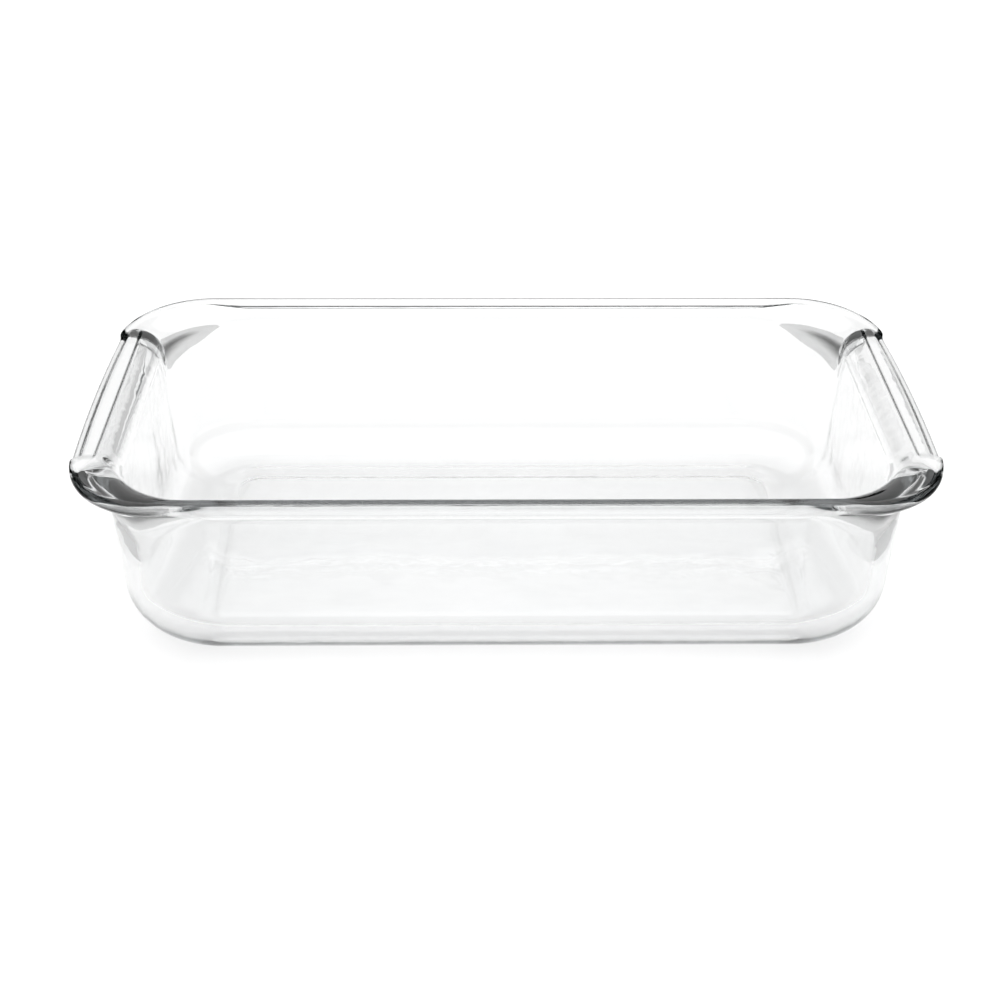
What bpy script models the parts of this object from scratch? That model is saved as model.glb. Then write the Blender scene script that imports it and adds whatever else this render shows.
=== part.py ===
"""Clear pressed-glass loaf dish, made as the real one is: a single body with no joint in it.

Its skin is a loft of closed loops. They start in the middle of the floor, climb the inside of the walls,
turn over the rim and the two end flanges, and come down the outside to the foot. The flanges are wider and
rounder in plan than the body, so these are unlike sections. Under the straight part of each flange there is
a hollow for the fingers; the corners are solid. A ledge is then cut along each grip edge.

Metres, +Z up. The origin is the middle of the foot, on the surface that the dish stands on, and +X runs
along the dish from one end handle to the other.
"""

import math
from collections import namedtuple

import bmesh
import bpy
from mathutils import Vector

MM = 0.001

# Overall size, over the handles
LENGTH = 280 * MM
WIDTH = 172 * MM
HEIGHT = 63 * MM

# Glass
END_WALL = 5.0 * MM
SIDE_WALL = 4.5 * MM
FLOOR = 5.0 * MM
WALL_DRAFT = math.radians(5.5)

# Body, measured outside at the height where the walls meet the rim
BODY_TOP_Z = 58 * MM
BODY_LENGTH = 257 * MM
BODY_WIDTH = 163 * MM
BODY_CORNER = 34 * MM

# Rounded edges at the bottom: across the ends, across the sides, and in height
OUTER_FILLET = (21.5 * MM, 20 * MM, 20.5 * MM)
INNER_FILLET = (17 * MM, 16 * MM, 16 * MM)
OUTER_FOOT_CORNER = 14 * MM
INNER_FLOOR_CORNER = 12 * MM

# Rim and end flanges
RIM_THICKNESS = 4.6 * MM
FLANGE_CORNER = (31.1 * MM, 39 * MM)
GRIP_BOW = 0.9 * MM
RIM_EDGE = 2.2 * MM
CREST_SET_BACK = (10 * MM, 2.8 * MM)
CREST_WIDENED = 0.3
LIP_HEIGHT = 7 * MM
INSIDE_CORNER = (32.9 * MM, 31.1 * MM)

# Hollow rounding under the rim. Under the corners it is deep, reaches the rim's edge and stays sloping there
COVE_SET_BACK = (8 * MM, 2.6 * MM)
COVE_HEIGHT = 5 * MM
COVE_HEIGHT_AT_CORNERS = 17 * MM
COVE_TURN = math.radians(90)
COVE_TURN_AT_CORNERS = math.radians(68)

# Where it changes: from this far off the dish's middle line, over this much, and over this much at the sides
DEEP_FROM, DEEP_OVER = 42 * MM, 14 * MM
WIDE_FROM, WIDE_OVER = 48 * MM, 12 * MM
CORNER_ALONG = 20 * MM

# Ledge along each grip edge
LEDGE_LENGTH = 105 * MM
LEDGE_WIDTH = 3.8 * MM
LEDGE_SLOPE = 1.7 * MM
LEDGE_DEPTH = 2.6 * MM

# Land between the bead round the mouth and the ledge, where it is a little lower
LAND_DROP = 0.8 * MM
LAND_START = 9.5 * MM
LAND_SLOPE = 1.3 * MM
LAND_HALF = 54 * MM
LAND_END = 6 * MM

# Low step round the floor of the cavity, where its rounded edge begins
FLOOR_STEP = 0.6 * MM
FLOOR_STEP_WIDTH = 0.45 * MM

# Foot: a flat ring round a shallow recess
FOOT_RING = 4 * MM
RECESS_SLOPE = 2.5 * MM
RECESS_DEPTH = 0.2 * MM

# Fineness
CORNER_STEPS = 11
END_STEPS = 12
FILLET_STEPS = 6
EDGE_STEPS = 6
LIP_STEPS = 4
TOP_SHARES = (0.06, 0.23)

Outline = namedtuple("Outline", "half_x half_y corner_x corner_y bow")

BODY_TOP = Outline(BODY_LENGTH / 2, BODY_WIDTH / 2, BODY_CORNER, BODY_CORNER, 0)
INSIDE_TOP = Outline(BODY_TOP.half_x - END_WALL, BODY_TOP.half_y - SIDE_WALL, *INSIDE_CORNER, 0)
FLANGE = Outline(LENGTH / 2, WIDTH / 2, FLANGE_CORNER[0], FLANGE_CORNER[1], GRIP_BOW)


def smooth(share):
    """An S-shaped ramp from 0 to 1."""
    share = min(max(share, 0), 1)
    return share * share * (3 - 2 * share)


def inset(shape, at_ends, at_sides, corner_x=None, corner_y=None):
    """The outline moved inwards. Its corners tighten by as much, unless their radii are given."""
    return Outline(
        shape.half_x - at_ends,
        shape.half_y - at_sides,
        shape.corner_x - at_ends if corner_x is None else corner_x,
        shape.corner_y - at_sides if corner_y is None else corner_y,
        shape.bow,
    )


def straight_inset(shape, at_ends, at_sides):
    """The outline moved inwards from its straight ends, with the same corner centres and no bow."""
    at_ends -= shape.bow
    moved = inset(shape, at_ends + shape.bow, at_sides, shape.corner_x - at_ends, shape.corner_y - at_sides)
    return moved._replace(bow=0)


CREST = straight_inset(FLANGE, *CREST_SET_BACK)
COVE_END = straight_inset(FLANGE, *COVE_SET_BACK)


def outline_points(shape):
    """A closed outline, anticlockwise from above, with the same number of points for every shape."""
    edge_y = shape.half_y - shape.corner_y
    middle_x = shape.half_x - shape.bow - shape.corner_x
    half = []
    for step in range(1, END_STEPS):
        share = 2 * step / END_STEPS - 1
        half.append((shape.half_x - shape.bow * share**2, edge_y * share))
    for quarter, side in ((0, 1), (1, -1)):
        for step in range(CORNER_STEPS + 1):
            turn = (quarter + step / CORNER_STEPS) * math.pi / 2
            x = side * middle_x + shape.corner_x * math.cos(turn)
            y = edge_y + shape.corner_y * math.sin(turn)
            half.append((x, y))
    return half + [(-x, -y) for x, y in half]


def level_loop(shape, z):
    """The outline's points at one height."""
    return [Vector((x, y, z)) for x, y in outline_points(shape)]


def corner_shares(from_y, over_y):
    """How far each point of an outline is into a corner: 0 on the straight runs, 1 round the middle."""
    shares = []
    for x, y in outline_points(FLANGE):
        across = smooth((abs(y) - from_y) / over_y)
        along = smooth((abs(x) - FLANGE.half_x + FLANGE.corner_x) / CORNER_ALONG)
        shares.append(across * along)
    return shares


def widened(shape, limit, most, z):
    """The outline's points at one height, drawn out towards a wider outline round the corners."""
    shares = corner_shares(WIDE_FROM, WIDE_OVER)
    near, far = level_loop(shape, z), level_loop(limit, z)
    return [a.lerp(b, most * share) for a, b, share in zip(near, far, shares)]


def part_way(a, b, out, up):
    """The point that lies this share of the way from a to b in plan, and this share in height."""
    return Vector((a.x + (b.x - a.x) * out, a.y + (b.y - a.y) * out, a.z + (b.z - a.z) * up))


def inside_wall(z):
    """The outline of the cavity at a height on its straight wall."""
    lean = (BODY_TOP_Z - z) * math.tan(WALL_DRAFT)
    return inset(INSIDE_TOP, lean, lean)


def outside_wall(z):
    """The outline of the body at a height on its straight wall."""
    lean = (BODY_TOP_Z - z) * math.tan(WALL_DRAFT)
    return inset(BODY_TOP, lean, lean)


def bottom_fillet(wall_at, base_z, fillet, base_corner):
    """Loops from the flat of a base up to its drafted wall, with the base's outline and the top height."""
    across_ends, across_sides, height = fillet
    last_turn = math.pi / 2 - WALL_DRAFT
    top_z = base_z + height * (1 - math.cos(last_turn))
    top = wall_at(top_z)
    shapes = []
    for step in range(FILLET_STEPS + 1):
        turn = last_turn * step / FILLET_STEPS
        still_to_go = math.sin(last_turn) - math.sin(turn)
        share = still_to_go / math.sin(last_turn)
        corner_x = top.corner_x + (base_corner - top.corner_x) * share
        corner_y = top.corner_y + (base_corner - top.corner_y) * share
        shape = inset(top, across_ends * still_to_go, across_sides * still_to_go, corner_x, corner_y)
        shapes.append((shape, base_z + height * (1 - math.cos(turn))))
    return [level_loop(shape, z) for shape, z in shapes], shapes[0][0], top_z


def crest_points():
    """The line where the lip reaches the top of the rim."""
    return widened(CREST, inset(FLANGE, RIM_EDGE, RIM_EDGE), CREST_WIDENED, HEIGHT)


def lip_loops():
    """Loops that round the top of the cavity's wall over into the level top of the rim."""
    start_z = HEIGHT - LIP_HEIGHT
    start = level_loop(inside_wall(start_z), start_z)
    crest = crest_points()
    loops = []
    for step in range(LIP_STEPS + 1):
        turn = math.pi / 2 * step / LIP_STEPS
        loops.append([part_way(a, b, 1 - math.cos(turn), math.sin(turn)) for a, b in zip(start, crest)])
    return loops


def lowered(point):
    """The point moved down if it is on the land of an end flange; the rim's edge below stays where it is."""
    beyond = abs(point.x) - (FLANGE.half_x - LAND_START)
    share = smooth(beyond / LAND_SLOPE) * smooth((LAND_HALF - abs(point.y)) / LAND_END)
    above_ledge = min(max(point.z - (HEIGHT - LEDGE_DEPTH), 0) / LEDGE_DEPTH, 1)
    return point - Vector((0, 0, LAND_DROP * share * above_ledge))


def rim_loops():
    """Loops across the top of the rim and round its half-round outer edge, from its top to its underside."""
    edge = []
    radius = RIM_THICKNESS / 2
    for step in range(EDGE_STEPS + 1):
        turn = math.pi / 2 - math.pi * step / EDGE_STEPS
        back = RIM_EDGE * (1 - math.cos(turn))
        edge.append(level_loop(inset(FLANGE, back, back), HEIGHT - radius + radius * math.sin(turn)))
    crest = crest_points()
    top = [[a.lerp(b, share) for a, b in zip(crest, edge[0])] for share in TOP_SHARES]
    return [[lowered(point) for point in loop] for loop in top + edge]


def outside_loops(low_z):
    """Loops of the hollow rounding under the rim, from the wall up. It is deep under the corners."""
    underside_z = HEIGHT - RIM_THICKNESS
    bottom = level_loop(outside_wall(low_z), low_z)
    top = level_loop(outside_wall(underside_z), underside_z)
    wall_top = []
    for low, high, share in zip(bottom, top, corner_shares(DEEP_FROM, DEEP_OVER)):
        height = COVE_HEIGHT + (COVE_HEIGHT_AT_CORNERS - COVE_HEIGHT) * share
        wall_top.append(high.lerp(low, height / (underside_z - low_z)))
    end = widened(COVE_END, inset(FLANGE, 1.1 * RIM_EDGE, 1.1 * RIM_EDGE), 1, underside_z)
    cove = []
    for step in range(LIP_STEPS + 1):
        loop = []
        for a, b, share in zip(wall_top, end, corner_shares(WIDE_FROM, WIDE_OVER)):
            last_turn = COVE_TURN + (COVE_TURN_AT_CORNERS - COVE_TURN) * share
            turn = last_turn * step / LIP_STEPS
            out = (1 - math.cos(turn)) / (1 - math.cos(last_turn))
            loop.append(part_way(a, b, out, math.sin(turn) / math.sin(last_turn)))
        cove.append(loop)
    return cove


def foot_loops(outer):
    """Loops of the flat ring that the dish stands on and of the recess inside it."""
    ring = inset(outer, FOOT_RING, FOOT_RING)
    recess = inset(ring, RECESS_SLOPE, RECESS_SLOPE)
    return [level_loop(ring, 0), level_loop(recess, RECESS_DEPTH)]


def dish_loops():
    """Every loop of the skin, from the middle of the floor over the rim to the recess under it."""
    floor_z = FLOOR + RECESS_DEPTH
    fillet_z = floor_z + FLOOR_STEP
    inside, floor_edge, inside_z = bottom_fillet(inside_wall, fillet_z, INNER_FILLET, INNER_FLOOR_CORNER)
    outside, foot_edge, outside_z = bottom_fillet(outside_wall, 0, OUTER_FILLET, OUTER_FOOT_CORNER)
    floor_loop = level_loop(inset(floor_edge, FLOOR_STEP_WIDTH, FLOOR_STEP_WIDTH), floor_z)
    down = list(reversed(outside + outside_loops(outside_z)))
    return [floor_loop] + inside + lip_loops() + rim_loops() + down + foot_loops(foot_edge)


def loft(name, loops, collection):
    """One closed mesh through the loops, with a flat cap on the first and on the last."""
    mesh = bpy.data.meshes.new(name)
    bm = bmesh.new()
    rings = [[bm.verts.new(point) for point in loop] for loop in loops]
    count = len(rings[0])
    bm.faces.new(rings[0])
    bm.faces.new(reversed(rings[-1]))
    for inner, outer in zip(rings, rings[1:]):
        for i in range(count):
            j = (i + 1) % count
            bm.faces.new((inner[i], outer[i], outer[j], inner[j]))
    bmesh.ops.recalc_face_normals(bm, faces=bm.faces)
    bm.to_mesh(mesh)
    bm.free()
    body = bpy.data.objects.new(name, mesh)
    collection.objects.link(body)
    return body


def ledge_cutter(collection):
    """A bar that takes the ledge off one grip edge, with a sloping inner face, mirrored to the other end."""
    spare = 5 * MM
    low_z = HEIGHT - LEDGE_DEPTH
    high_z = HEIGHT + spare
    low_x = LENGTH / 2 - LEDGE_WIDTH + LEDGE_SLOPE
    lean = LEDGE_SLOPE / (LEDGE_DEPTH - LAND_DROP)
    high_x = low_x - (high_z - low_z) * lean
    outer_x = LENGTH / 2 + spare
    mesh = bpy.data.meshes.new("ledge_cutter")
    bm = bmesh.new()
    bmesh.ops.create_cube(bm, size=1)
    for corner in bm.verts:
        at_top = corner.co.z > 0
        inner_x = high_x if at_top else low_x
        corner.co.x = outer_x if corner.co.x > 0 else inner_x
        corner.co.y *= LEDGE_LENGTH
        corner.co.z = high_z if at_top else low_z
    bm.to_mesh(mesh)
    bm.free()
    cutter = bpy.data.objects.new("ledge_cutter", mesh)
    collection.objects.link(cutter)
    cutter.hide_render = True
    cutter.display_type = "WIRE"
    mirror = cutter.modifiers.new("other_end", "MIRROR")
    mirror.use_mirror_merge = False
    return cutter


def clear_glass():
    """Colourless soda-lime glass with the faint green that it has in thick edges."""
    material = bpy.data.materials.new("clear_glass")
    material.use_nodes = True
    shader = material.node_tree.nodes["Principled BSDF"]
    shader.inputs["Base Color"].default_value = (0.93, 0.97, 0.96, 1)
    shader.inputs["Metallic"].default_value = 0
    shader.inputs["Roughness"].default_value = 0.02
    shader.inputs["IOR"].default_value = 1.5
    shader.inputs["Transmission Weight"].default_value = 1
    return material


def main():
    for item in list(bpy.data.objects):
        bpy.data.objects.remove(item)
    scene = bpy.context.scene
    parts = bpy.data.collections.new("loaf_dish")
    cutters = bpy.data.collections.new("cutters")
    scene.collection.children.link(parts)
    scene.collection.children.link(cutters)

    dish = loft("glass_dish", dish_loops(), parts)
    cut = dish.modifiers.new("ledges", "BOOLEAN")
    cut.operation = "DIFFERENCE"
    cut.solver = "EXACT"
    cut.object = ledge_cutter(cutters)
    dish.data.materials.append(clear_glass())
    dish.data.shade_smooth()
    dish.data.set_sharp_from_angle(angle=math.radians(35))


main()
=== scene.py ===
"""Looks of the clear glass loaf dish: a fine mesh in place of the faceted CAD solid, a glass material,
a white table, soft light and the camera. Metres, +Z up, in the CAD frame."""

import math
from collections import namedtuple

import bmesh
import bpy
from mathutils import Matrix, Vector, noise


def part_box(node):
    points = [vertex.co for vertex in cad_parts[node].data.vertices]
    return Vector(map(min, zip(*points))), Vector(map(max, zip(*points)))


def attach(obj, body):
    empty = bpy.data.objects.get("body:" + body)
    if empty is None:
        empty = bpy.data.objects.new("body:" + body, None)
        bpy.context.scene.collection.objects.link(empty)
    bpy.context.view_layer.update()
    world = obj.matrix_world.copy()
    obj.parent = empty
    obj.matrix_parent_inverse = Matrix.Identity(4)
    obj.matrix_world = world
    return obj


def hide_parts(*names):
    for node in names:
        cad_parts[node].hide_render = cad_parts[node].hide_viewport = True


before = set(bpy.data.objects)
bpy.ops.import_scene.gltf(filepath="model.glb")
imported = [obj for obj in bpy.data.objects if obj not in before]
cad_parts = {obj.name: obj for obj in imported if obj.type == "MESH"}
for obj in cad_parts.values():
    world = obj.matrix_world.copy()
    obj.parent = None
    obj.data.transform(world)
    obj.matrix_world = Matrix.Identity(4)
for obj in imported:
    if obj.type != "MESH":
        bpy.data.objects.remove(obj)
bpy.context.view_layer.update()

MM = 0.001
NODE = "glass_dish"
LOW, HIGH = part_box(NODE)
LENGTH = HIGH.x - LOW.x
WIDTH = HIGH.y - LOW.y
HEIGHT = HIGH.z - LOW.z

# Glass
END_WALL = 5.0 * MM
SIDE_WALL = 4.5 * MM
FLOOR = 5.0 * MM
WALL_DRAFT = math.radians(5.5)

# Body, measured outside at the height where the walls meet the rim
BODY_TOP_Z = HEIGHT - 5 * MM
BODY_HALF_X = LENGTH / 2 - 11.5 * MM
BODY_HALF_Y = WIDTH / 2 - 4.5 * MM
BODY_CORNER = 34 * MM

# Rounded edges at the bottom: across the ends, across the sides, and in height
OUTER_FILLET = (21.5 * MM, 20 * MM, 20.5 * MM)
INNER_FILLET = (17 * MM, 16 * MM, 16 * MM)
OUTER_FOOT_CORNER = 14 * MM
INNER_FLOOR_CORNER = 12 * MM

# Rim and end flanges
RIM_THICKNESS = 4.6 * MM
FLANGE_CORNER = (31.1 * MM, 39 * MM)
GRIP_BOW = 0.9 * MM
RIM_EDGE = 2.2 * MM
RIM_EDGE_ROUND = 0.99 * RIM_EDGE
CREST_SET_BACK = (10 * MM, 2.8 * MM)
CREST_WIDENED = 0.3
LIP_HEIGHT = 7 * MM
INSIDE_CORNER = (32.9 * MM, 31.1 * MM)

# Hollow rounding under the rim. Under the corners it is deep, nearly reaches the rim's edge and stays
# sloping there
COVE_SET_BACK = (8 * MM, 2.6 * MM)
COVE_SET_BACK_AT_CORNERS = 1.1 * RIM_EDGE
COVE_HEIGHT = 5 * MM
COVE_HEIGHT_AT_CORNERS = 17 * MM
COVE_TURN = math.radians(90)
COVE_TURN_AT_CORNERS = math.radians(68)

# Where a corner begins: from this far off the dish's middle line, over this much, and along the sides over
# this much
DEEP_FROM, DEEP_OVER = 42 * MM, 14 * MM
WIDE_FROM, WIDE_OVER = 48 * MM, 12 * MM
CORNER_ALONG = 20 * MM

# Ledge pressed into the top of each grip, along its edge
LEDGE_HALF = 52.5 * MM
LEDGE_END = 3 * MM
LEDGE_WIDTH = 3.8 * MM
LEDGE_SLOPE = 1.7 * MM
LEDGE_DEPTH = 2.6 * MM
LEDGE_SET_BACK = 0.4 * MM
LEDGE_BRINK = 1 * MM
LEDGE_TOP_ROUND = 0.3 * MM
LEDGE_EDGE_ROUND = 0.6 * MM

# Land between the bead round the mouth and the ledge, where it is a little lower
LAND_DROP = 0.8 * MM
LAND_START = 9.5 * MM
LAND_SLOPE = 1.3 * MM
LAND_HALF = 54 * MM
LAND_END = 6 * MM

# Step round the floor of the cavity, where its rounded edge begins: a long slope at the ends, a short one
# at the sides
FLOOR_STEP = 0.6 * MM
FLOOR_STEP_WIDTH = (8 * MM, 0.45 * MM)

# Foot: a flat ring round a shallow recess
FOOT_RING = 4 * MM
RECESS_SLOPE = 2.5 * MM
RECESS_DEPTH = 0.2 * MM

# Waves that pressing leaves in the walls
WAVE = 0.16 * MM
WAVE_SIZE = 38 * MM
INSIDE_WAVES, OUTSIDE_WAVES = 3.1, 9.7

# Tint of the glass: its surface where it is clearest and where it is least clear, and its depth
CLEAREST = (0.99, 0.99, 0.99, 1)
LEAST_CLEAR = (0.965, 0.97, 0.97, 1)
DEPTH_COLOUR = (0.50, 0.515, 0.52, 1)
DEPTH_DENSITY = 16

# Light: how bright, and between which directions it changes, as the direction's height or how far behind
# the dish it points
SOFT_BOX_LIGHT = 1.7
SOFT_BOX_EDGE = (0.35, 0.6)
SWEEP_LIGHT = 0.7
SWEEP_EDGE = (0.3, 0.8)
SIDE_LIGHT = 0.12

# Table: how far it reaches, the gap under the dish, its two nearly equal greys, and a glow of its own that
# weakens the shadow round the dish
TABLE_HALF = 15
TABLE_GAP = 0.2 * MM
TABLE_TONES = (0.55, 0.57)
TABLE_GLOW = 0.37

# Cards beside the dish: how far off its middle, their size, how light the foot and the rest, and between
# which heights they darken
CARD_X = 165 * MM
CARD_LENGTH = 700 * MM
CARD_HEIGHT = 115 * MM
CARD_THICKNESS = 4 * MM
CARD_FOOT_TONE = 0.75
CARD_TONE = 0.01
CARD_FADE = (20 * MM, 50 * MM)

# Fineness: how many steps each stretch has
CORNER_STEPS = 56
END_STEPS = 96
SIDE_STEPS = 60
FILLET_STEPS = 16
WALL_STEPS = 14
LIP_STEPS = 12
TOP_STEPS = 16
EDGE_POINTS = 21
ROUND_STEPS = 6
RISE_STEPS = 6
CAP_SCALES = (0.55, 0.7, 0.82, 0.91, 0.97)

# An outline seen from above: half its length and width, the radii of its corners, and how far its ends bow
Outline = namedtuple("Outline", "half_x half_y corner_x corner_y bow")

BODY_TOP = Outline(BODY_HALF_X, BODY_HALF_Y, BODY_CORNER, BODY_CORNER, 0)
INSIDE_TOP = Outline(BODY_HALF_X - END_WALL, BODY_HALF_Y - SIDE_WALL, *INSIDE_CORNER, 0)
FLANGE = Outline(LENGTH / 2, WIDTH / 2, *FLANGE_CORNER, GRIP_BOW)


def smooth(share):
    """An S-shaped ramp from 0 to 1."""
    share = min(max(share, 0), 1)
    return share * share * (3 - 2 * share)


def inset(shape, at_ends, at_sides, corner_x=None, corner_y=None):
    """The outline moved inwards. Its corners tighten by as much, unless their radii are given."""
    return Outline(
        shape.half_x - at_ends,
        shape.half_y - at_sides,
        shape.corner_x - at_ends if corner_x is None else corner_x,
        shape.corner_y - at_sides if corner_y is None else corner_y,
        shape.bow,
    )


def outline_points(shape):
    """A closed outline, anticlockwise from above, with the same number of points for every shape."""
    edge_x = shape.half_x - shape.bow - shape.corner_x
    edge_y = shape.half_y - shape.corner_y
    half = []
    for step in range(1, END_STEPS):
        share = 2 * step / END_STEPS - 1
        half.append((shape.half_x - shape.bow * share**2, edge_y * share))
    for step in range(CORNER_STEPS + 1):
        turn = step / CORNER_STEPS * math.pi / 2
        half.append((edge_x + shape.corner_x * math.cos(turn), edge_y + shape.corner_y * math.sin(turn)))
    for step in range(1, SIDE_STEPS):
        half.append((edge_x * (1 - 2 * step / SIDE_STEPS), shape.half_y))
    for step in range(CORNER_STEPS + 1):
        turn = (1 + step / CORNER_STEPS) * math.pi / 2
        half.append((-edge_x + shape.corner_x * math.cos(turn), edge_y + shape.corner_y * math.sin(turn)))
    return half + [(-x, -y) for x, y in half]


def straight_inset(shape, at_ends, at_sides):
    """The outline moved inwards from its straight ends, with the same corner centres and no bow."""
    at_ends -= shape.bow
    moved = inset(shape, at_ends + shape.bow, at_sides, shape.corner_x - at_ends, shape.corner_y - at_sides)
    return moved._replace(bow=0)


CREST = straight_inset(FLANGE, *CREST_SET_BACK)
COVE_END = straight_inset(FLANGE, *COVE_SET_BACK)


def corner_shares(from_y, over_y):
    """How far each point of an outline is into a corner: 0 on the straight runs, 1 round the middle."""
    shares = []
    for x, y in outline_points(FLANGE):
        across = smooth((abs(y) - from_y) / over_y)
        along = smooth((abs(x) - FLANGE.half_x + FLANGE.corner_x) / CORNER_ALONG)
        shares.append(across * along)
    return shares


def widened(shape, limit, most, z):
    """The outline's points at one height, drawn out towards a wider outline round the corners."""
    shares = corner_shares(WIDE_FROM, WIDE_OVER)
    near, far = level_loop(shape, z), level_loop(limit, z)
    return [a.lerp(b, most * share) for a, b, share in zip(near, far, shares)]


def level_loop(shape, z):
    """The outline's points at one height."""
    return [Vector((x, y, z)) for x, y in outline_points(shape)]


def inside_wall(z):
    """The outline of the cavity at a height on its straight wall."""
    lean = (BODY_TOP_Z - z) * math.tan(WALL_DRAFT)
    return inset(INSIDE_TOP, lean, lean)


def outside_wall(z):
    """The outline of the body at a height on its straight wall."""
    lean = (BODY_TOP_Z - z) * math.tan(WALL_DRAFT)
    return inset(BODY_TOP, lean, lean)


def wall_loops(wall_at, low_z, high_z):
    """Loops up a straight wall, without its two ends."""
    heights = [low_z + (high_z - low_z) * step / WALL_STEPS for step in range(1, WALL_STEPS)]
    return [level_loop(wall_at(z), z) for z in heights]


def bottom_fillet(wall_at, base_z, fillet, base_corner):
    """Loops from the flat of a base up to its drafted wall, with the base's outline and the top height."""
    across_ends, across_sides, height = fillet
    last_turn = math.pi / 2 - WALL_DRAFT
    top_z = base_z + height * (1 - math.cos(last_turn))
    top = wall_at(top_z)
    shapes = []
    for step in range(FILLET_STEPS + 1):
        turn = last_turn * step / FILLET_STEPS
        still_to_go = math.sin(last_turn) - math.sin(turn)
        share = still_to_go / math.sin(last_turn)
        corner_x = top.corner_x + (base_corner - top.corner_x) * share
        corner_y = top.corner_y + (base_corner - top.corner_y) * share
        shape = inset(top, across_ends * still_to_go, across_sides * still_to_go, corner_x, corner_y)
        shapes.append((shape, base_z + height * (1 - math.cos(turn))))
    return [level_loop(shape, z) for shape, z in shapes], shapes[0][0], top_z


def crest_points():
    """The line where the lip reaches the top of the rim."""
    return widened(CREST, inset(FLANGE, RIM_EDGE, RIM_EDGE), CREST_WIDENED, HEIGHT)


def part_way(a, b, out, up):
    """The point that lies this share of the way from a to b in plan, and this share in height."""
    return Vector((a.x + (b.x - a.x) * out, a.y + (b.y - a.y) * out, a.z + (b.z - a.z) * up))


def lip_loops():
    """Loops that round the top of the cavity's wall over into the level top of the rim."""
    start_z = HEIGHT - LIP_HEIGHT
    start = level_loop(inside_wall(start_z), start_z)
    crest = crest_points()
    loops = []
    for step in range(LIP_STEPS + 1):
        turn = math.pi / 2 * step / LIP_STEPS
        loops.append([part_way(a, b, 1 - math.cos(turn), math.sin(turn)) for a, b in zip(start, crest)])
    return loops


def rounded(corners, radii, count):
    """A path through the corners with each inner one rounded, read at this many even steps along it."""
    path = [Vector(corners[0])]
    for before, corner, after, radius in zip(corners, corners[1:], corners[2:], radii):
        corner = Vector(corner)
        to_before = (Vector(before) - corner).normalized() * radius
        to_after = (Vector(after) - corner).normalized() * radius
        for step in range(ROUND_STEPS + 1):
            first = corner + to_before * (1 - step / ROUND_STEPS)
            second = corner + to_after * step / ROUND_STEPS
            path.append(first + (second - first) * step / ROUND_STEPS)
    path.append(Vector(corners[-1]))
    lengths = [0]
    for a, b in zip(path, path[1:]):
        lengths.append(lengths[-1] + (b - a).length)
    points = []
    for step in range(count):
        target = lengths[-1] * step / (count - 1)
        i = max(k for k in range(len(path) - 1) if lengths[k] <= target or k == 0)
        span = max(lengths[i + 1] - lengths[i], 1e-9)
        points.append(tuple(path[i] + (path[i + 1] - path[i]) * min((target - lengths[i]) / span, 1)))
    return points


def edge_profiles():
    """The rim's outer edge as steps back from its outline, with heights: plain, and with the ledge."""
    underside_z = HEIGHT - RIM_THICKNESS
    ledge_z = HEIGHT - LEDGE_DEPTH
    plain = [(RIM_EDGE, HEIGHT), (0, HEIGHT), (0, underside_z), (RIM_EDGE, underside_z)]
    ledged = [
        (LEDGE_WIDTH + LEDGE_BRINK, HEIGHT),
        (LEDGE_WIDTH, HEIGHT),
        (LEDGE_WIDTH - LEDGE_SLOPE, ledge_z),
        (LEDGE_SET_BACK, ledge_z),
        (LEDGE_SET_BACK, underside_z),
        (RIM_EDGE, underside_z),
    ]
    plain_radii = (RIM_EDGE_ROUND, RIM_EDGE_ROUND)
    ledged_radii = (LEDGE_TOP_ROUND, LEDGE_TOP_ROUND, LEDGE_EDGE_ROUND, LEDGE_EDGE_ROUND)
    return rounded(plain, plain_radii, EDGE_POINTS), rounded(ledged, ledged_radii, EDGE_POINTS)


def ledge_share(point):
    """1 beside the ledge, 0 clear of it, for a point on the flange's outline."""
    at_end = abs(point[0]) > FLANGE.half_x - FLANGE.corner_x
    return smooth((LEDGE_HALF - abs(point[1])) / LEDGE_END) if at_end else 0


def lowered(point):
    """The point moved down if it is on the land of an end flange; the ledge stays where it is."""
    beyond = abs(point.x) - (FLANGE.half_x - LAND_START)
    share = smooth(beyond / LAND_SLOPE) * smooth((LAND_HALF - abs(point.y)) / LAND_END)
    above_ledge = min(max(point.z - (HEIGHT - LEDGE_DEPTH), 0) / LEDGE_DEPTH, 1)
    return point - Vector((0, 0, LAND_DROP * share * above_ledge))


def rim_loops():
    """Loops across the top of the rim, round its outer edge, and back under it to the cove."""
    shares = [ledge_share(point) for point in outline_points(FLANGE)]
    edge = []
    for (plain_back, plain_z), (ledge_back, ledge_z) in zip(*edge_profiles()):
        plain = level_loop(inset(FLANGE, plain_back, plain_back), plain_z)
        ledged = level_loop(inset(FLANGE, ledge_back, ledge_back), ledge_z)
        edge.append([a.lerp(b, share) for a, b, share in zip(plain, ledged, shares)])
    crest = crest_points()
    top = []
    for step in range(1, TOP_STEPS):
        top.append([a.lerp(b, step / TOP_STEPS) for a, b in zip(crest, edge[0])])
    return [[lowered(point) for point in loop] for loop in top + edge]


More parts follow.
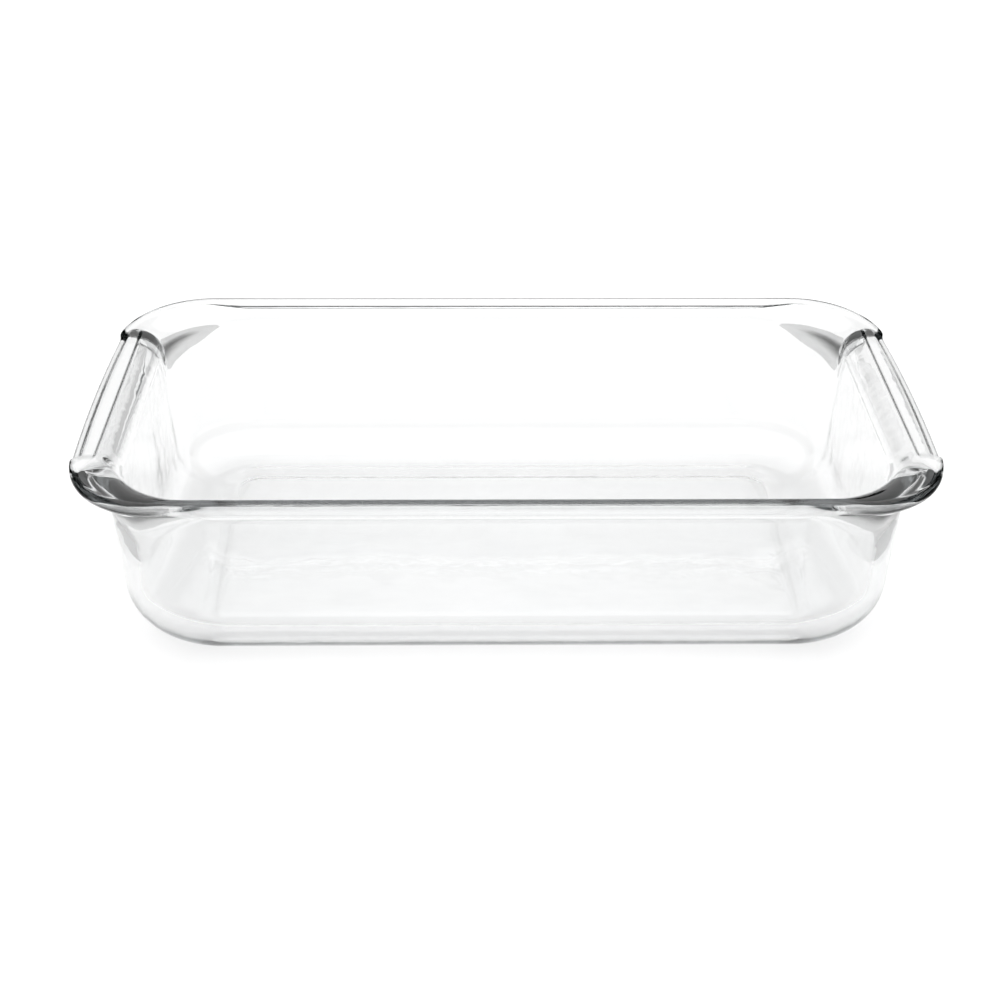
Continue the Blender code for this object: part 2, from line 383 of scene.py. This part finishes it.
def outside_loops(low_z):
    """Loops up the outside: the straight wall, then the hollow rounding, which is deep under the corners."""
    underside_z = HEIGHT - RIM_THICKNESS
    bottom = level_loop(outside_wall(low_z), low_z)
    top = level_loop(outside_wall(underside_z), underside_z)
    wall_top = []
    for low, high, share in zip(bottom, top, corner_shares(DEEP_FROM, DEEP_OVER)):
        height = COVE_HEIGHT + (COVE_HEIGHT_AT_CORNERS - COVE_HEIGHT) * share
        wall_top.append(high.lerp(low, height / (underside_z - low_z)))
    wall = []
    for step in range(1, WALL_STEPS):
        wall.append([a.lerp(b, step / WALL_STEPS) for a, b in zip(bottom, wall_top)])
    limit = inset(FLANGE, COVE_SET_BACK_AT_CORNERS, COVE_SET_BACK_AT_CORNERS)
    end = widened(COVE_END, limit, 1, underside_z)
    cove = []
    for step in range(LIP_STEPS + 1):
        loop = []
        for a, b, share in zip(wall_top, end, corner_shares(WIDE_FROM, WIDE_OVER)):
            last_turn = COVE_TURN + (COVE_TURN_AT_CORNERS - COVE_TURN) * share
            turn = last_turn * step / LIP_STEPS
            out = (1 - math.cos(turn)) / (1 - math.cos(last_turn))
            loop.append(part_way(a, b, out, math.sin(turn) / math.sin(last_turn)))
        cove.append(loop)
    return wall, cove


def cap_loops(shape, z):
    """Loops over a flat base, from near its middle to just inside its outline."""
    points = outline_points(shape)
    return [[Vector((x * scale, y * scale, z)) for x, y in points] for scale in CAP_SCALES]


def floor_step_loops(edge, floor_z):
    """Loops of the low step up from the flat floor to where the rounded edge begins."""
    loops = []
    for step in range(RISE_STEPS):
        share = step / RISE_STEPS
        at_ends, at_sides = (width * (1 - share) for width in FLOOR_STEP_WIDTH)
        loops.append(level_loop(inset(edge, at_ends, at_sides), floor_z + FLOOR_STEP * smooth(share)))
    return loops


def foot_loops(outer):
    """Loops of the flat ring that the dish stands on and of the recess inside it."""
    ring = inset(outer, FOOT_RING, FOOT_RING)
    loops = [level_loop(inset(outer, FOOT_RING / 2, FOOT_RING / 2), 0), level_loop(ring, 0)]
    for step in range(1, RISE_STEPS + 1):
        share = step / RISE_STEPS
        shape = inset(ring, RECESS_SLOPE * share, RECESS_SLOPE * share)
        loops.append(level_loop(shape, RECESS_DEPTH * smooth(share)))
    recess = inset(ring, RECESS_SLOPE, RECESS_SLOPE)
    return loops + list(reversed(cap_loops(recess, RECESS_DEPTH)))


def waved(loops, seed):
    """The loops with the slow waves of pressed glass in them, none at the first and last loop."""
    last = len(loops) - 1
    result = []
    for row, loop in enumerate(loops):
        fade = smooth(4 * row / last) * smooth(4 * (last - row) / last)
        moved = []
        for point in loop:
            outwards = Vector((point.x / LENGTH, point.y / WIDTH, 0)).normalized()
            shift = noise.noise(point / WAVE_SIZE + Vector((seed, 0, 0))) * WAVE * fade
            moved.append(point + outwards * shift)
        result.append(moved)
    return result


def dish_loops():
    """Every loop of the skin, from the middle of the floor over the rim to the recess under the floor."""
    floor_z = FLOOR + RECESS_DEPTH
    fillet_z = floor_z + FLOOR_STEP
    inner, floor_edge, inner_z = bottom_fillet(inside_wall, fillet_z, INNER_FILLET, INNER_FLOOR_CORNER)
    outer, foot_shape, outer_z = bottom_fillet(outside_wall, 0, OUTER_FILLET, OUTER_FOOT_CORNER)
    outside, cove = outside_loops(outer_z)
    inside = wall_loops(inside_wall, inner_z, HEIGHT - LIP_HEIGHT)
    outside.reverse()
    cove.reverse()
    outer.reverse()
    return (
        cap_loops(inset(floor_edge, *FLOOR_STEP_WIDTH), floor_z)
        + floor_step_loops(floor_edge, floor_z)
        + inner
        + waved(inside, INSIDE_WAVES)
        + lip_loops()
        + rim_loops()
        + cove
        + waved(outside, OUTSIDE_WAVES)
        + outer
        + foot_loops(foot_shape)
    )


def loft(name, loops):
    """One closed, smooth-shaded mesh through the loops, with a flat cap on the first and on the last."""
    mesh = bpy.data.meshes.new(name)
    bm = bmesh.new()
    rings = [[bm.verts.new(point) for point in loop] for loop in loops]
    count = len(rings[0])
    bm.faces.new(rings[0])
    bm.faces.new(reversed(rings[-1]))
    for inner, outer in zip(rings, rings[1:]):
        for i in range(count):
            j = (i + 1) % count
            bm.faces.new((inner[i], outer[i], outer[j], inner[j]))
    bmesh.ops.recalc_face_normals(bm, faces=bm.faces)
    bm.to_mesh(mesh)
    bm.free()
    mesh.shade_smooth()
    body = bpy.data.objects.new(name, mesh)
    bpy.context.scene.collection.objects.link(body)
    return body


def clear_glass():
    """Fire-polished pressed glass: colourless, a little grey in depth, slightly wavy and uneven in tint."""
    material = bpy.data.materials.new("clear_glass")
    material.use_nodes = True
    tree = material.node_tree
    nodes, links = tree.nodes, tree.links
    shader = nodes["Principled BSDF"]
    shader.inputs["Roughness"].default_value = 0
    shader.inputs["IOR"].default_value = 1.5
    shader.inputs["Transmission Weight"].default_value = 1
    shader.inputs["Metallic"].default_value = 0

    place = nodes.new("ShaderNodeTexCoord")
    haze = nodes.new("ShaderNodeTexNoise")
    haze.inputs["Scale"].default_value = 45
    haze.inputs["Detail"].default_value = 3
    links.new(place.outputs["Object"], haze.inputs["Vector"])

    tint = nodes.new("ShaderNodeMix")
    tint.data_type = "RGBA"
    tint.inputs["A"].default_value = CLEAREST
    tint.inputs["B"].default_value = LEAST_CLEAR
    links.new(haze.outputs["Fac"], tint.inputs["Factor"])
    links.new(tint.outputs["Result"], shader.inputs["Base Color"])

    ripple = nodes.new("ShaderNodeTexNoise")
    ripple.inputs["Scale"].default_value = 60
    ripple.inputs["Detail"].default_value = 2
    links.new(place.outputs["Object"], ripple.inputs["Vector"])
    bump = nodes.new("ShaderNodeBump")
    bump.inputs["Strength"].default_value = 0.25
    bump.inputs["Distance"].default_value = 0.0004
    links.new(ripple.outputs["Fac"], bump.inputs["Height"])
    links.new(bump.outputs["Normal"], shader.inputs["Normal"])

    depth = nodes.new("ShaderNodeVolumeAbsorption")
    depth.inputs["Color"].default_value = DEPTH_COLOUR
    depth.inputs["Density"].default_value = DEPTH_DENSITY
    links.new(depth.outputs["Volume"], nodes["Material Output"].inputs["Volume"])
    return material


def grey(tone):
    """An opaque grey of this lightness."""
    return (tone, tone, tone, 1)


def white_table():
    """The plain white surface that the dish stands on, with a faint glow of its own."""
    mesh = bpy.data.meshes.new("table_top")
    bm = bmesh.new()
    bmesh.ops.create_grid(bm, x_segments=4, y_segments=4, size=TABLE_HALF)
    bm.to_mesh(mesh)
    bm.free()
    table = bpy.data.objects.new("table_top", mesh)
    bpy.context.scene.collection.objects.link(table)
    table.location.z = LOW.z - TABLE_GAP
    material = bpy.data.materials.new("white_table")
    material.use_nodes = True
    nodes, links = material.node_tree.nodes, material.node_tree.links
    shader = nodes["Principled BSDF"]
    shader.inputs["Specular IOR Level"].default_value = 0
    grain = nodes.new("ShaderNodeTexNoise")
    grain.inputs["Scale"].default_value = 30
    colour = nodes.new("ShaderNodeMix")
    colour.data_type = "RGBA"
    colour.inputs["A"].default_value = grey(TABLE_TONES[0])
    colour.inputs["B"].default_value = grey(TABLE_TONES[1])
    links.new(grain.outputs["Fac"], colour.inputs["Factor"])
    links.new(colour.outputs["Result"], shader.inputs["Base Color"])
    shader.inputs["Roughness"].default_value = 1
    shader.inputs["Emission Color"].default_value = (1, 1, 1, 1)
    shader.inputs["Emission Strength"].default_value = TABLE_GLOW
    mesh.materials.append(material)


def side_cards():
    """Cards that stand beside the dish and give clear glass its dark edges: pale at the foot, black above.

    Only the glass sees them: they are not in view themselves and leave no shadow on the table.
    """
    material = bpy.data.materials.new("side_card")
    material.use_nodes = True
    nodes, links = material.node_tree.nodes, material.node_tree.links
    shader = nodes["Principled BSDF"]
    shader.inputs["Roughness"].default_value = 1
    shader.inputs["Specular IOR Level"].default_value = 0
    place = nodes.new("ShaderNodeNewGeometry")
    axes = nodes.new("ShaderNodeSeparateXYZ")
    links.new(place.outputs["Position"], axes.inputs["Vector"])
    fade = nodes.new("ShaderNodeMapRange")
    fade.interpolation_type = "SMOOTHSTEP"
    fade.inputs["From Min"].default_value = CARD_FADE[0]
    fade.inputs["From Max"].default_value = CARD_FADE[1]
    links.new(axes.outputs["Z"], fade.inputs["Value"])
    colour = nodes.new("ShaderNodeMix")
    colour.data_type = "RGBA"
    colour.inputs["A"].default_value = grey(CARD_FOOT_TONE)
    colour.inputs["B"].default_value = grey(CARD_TONE)
    links.new(fade.outputs["Result"], colour.inputs["Factor"])
    links.new(colour.outputs["Result"], shader.inputs["Base Color"])
    for name, side in (("card_left", -1), ("card_right", 1)):
        mesh = bpy.data.meshes.new(name)
        bm = bmesh.new()
        bmesh.ops.create_cube(bm, size=1)
        bm.to_mesh(mesh)
        bm.free()
        mesh.materials.append(material)
        card = bpy.data.objects.new(name, mesh)
        bpy.context.scene.collection.objects.link(card)
        card.scale = (CARD_THICKNESS, CARD_LENGTH, CARD_HEIGHT)
        card.location = (side * CARD_X, 0, LOW.z + CARD_HEIGHT / 2)
        card.visible_camera = False
        card.visible_diffuse = False
        card.visible_shadow = False


def soft_light():
    """A dome of light: a broad soft box overhead, a pale sweep behind, and dim at the sides and in front."""
    world = bpy.data.worlds.new("surround")
    bpy.context.scene.world = world
    world.use_nodes = True
    nodes, links = world.node_tree.nodes, world.node_tree.links
    place = nodes.new("ShaderNodeTexCoord")
    axes = nodes.new("ShaderNodeSeparateXYZ")
    links.new(place.outputs["Generated"], axes.inputs["Vector"])

    def ramp(axis, start, end, low, high):
        """Light that changes smoothly from low to high along one axis of the direction."""
        part = nodes.new("ShaderNodeMapRange")
        part.interpolation_type = "SMOOTHSTEP"
        part.inputs["From Min"].default_value = start
        part.inputs["From Max"].default_value = end
        part.inputs["To Min"].default_value = low
        part.inputs["To Max"].default_value = high
        links.new(axes.outputs[axis], part.inputs["Value"])
        return part.outputs["Result"]

    def join(operation, first, second):
        """Two amounts of light put together."""
        node = nodes.new("ShaderNodeMath")
        node.operation = operation
        links.new(first, node.inputs[0])
        links.new(second, node.inputs[1])
        return node.outputs["Value"]

    overhead = ramp("Z", *SOFT_BOX_EDGE, SIDE_LIGHT, SOFT_BOX_LIGHT)
    behind = ramp("Y", *SWEEP_EDGE, 0, SWEEP_LIGHT)
    links.new(join("MAXIMUM", overhead, behind), nodes["Background"].inputs["Strength"])
    nodes["Background"].inputs["Color"].default_value = (1, 1, 1, 1)


def studio_camera():
    """A camera looking along the dish's width from above its near side."""
    pitch = math.radians(26.64)
    heading = -0.018
    roll = 0.006
    distance = 0.6275
    above_rim = 0.2805
    camera = bpy.data.cameras.new("camera")
    camera.sensor_width = 36
    camera.lens = 72.65
    camera.shift_x = -0.0045
    camera.shift_y = -0.0206
    camera.clip_start = 0.01
    holder = bpy.data.objects.new("camera", camera)
    turn = Matrix.Rotation(heading, 4, "Z")
    place = turn @ Matrix.Translation((0, -distance, HIGH.z + above_rim))
    tilt = Matrix.Rotation(math.pi / 2 - pitch, 4, "X") @ Matrix.Rotation(roll, 4, "Z")
    holder.matrix_world = place @ tilt
    bpy.context.scene.collection.objects.link(holder)
    bpy.context.scene.camera = holder
    bpy.context.scene.view_settings.view_transform = "Standard"


def long_light_paths():
    """Room for light that the glass walls and rim guide along by total reflection."""
    cycles = bpy.context.scene.cycles
    cycles.max_bounces = 48
    cycles.glossy_bounces = 48
    cycles.transmission_bounces = 48
    cycles.sample_clamp_indirect = 0
    cycles.blur_glossy = 0


def main():
    dish = loft("pressed_glass_dish", dish_loops())
    dish.data.materials.append(clear_glass())
    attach(dish, "root")
    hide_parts(NODE)
    white_table()
    side_cards()
    soft_light()
    studio_camera()
    long_light_paths()


main()
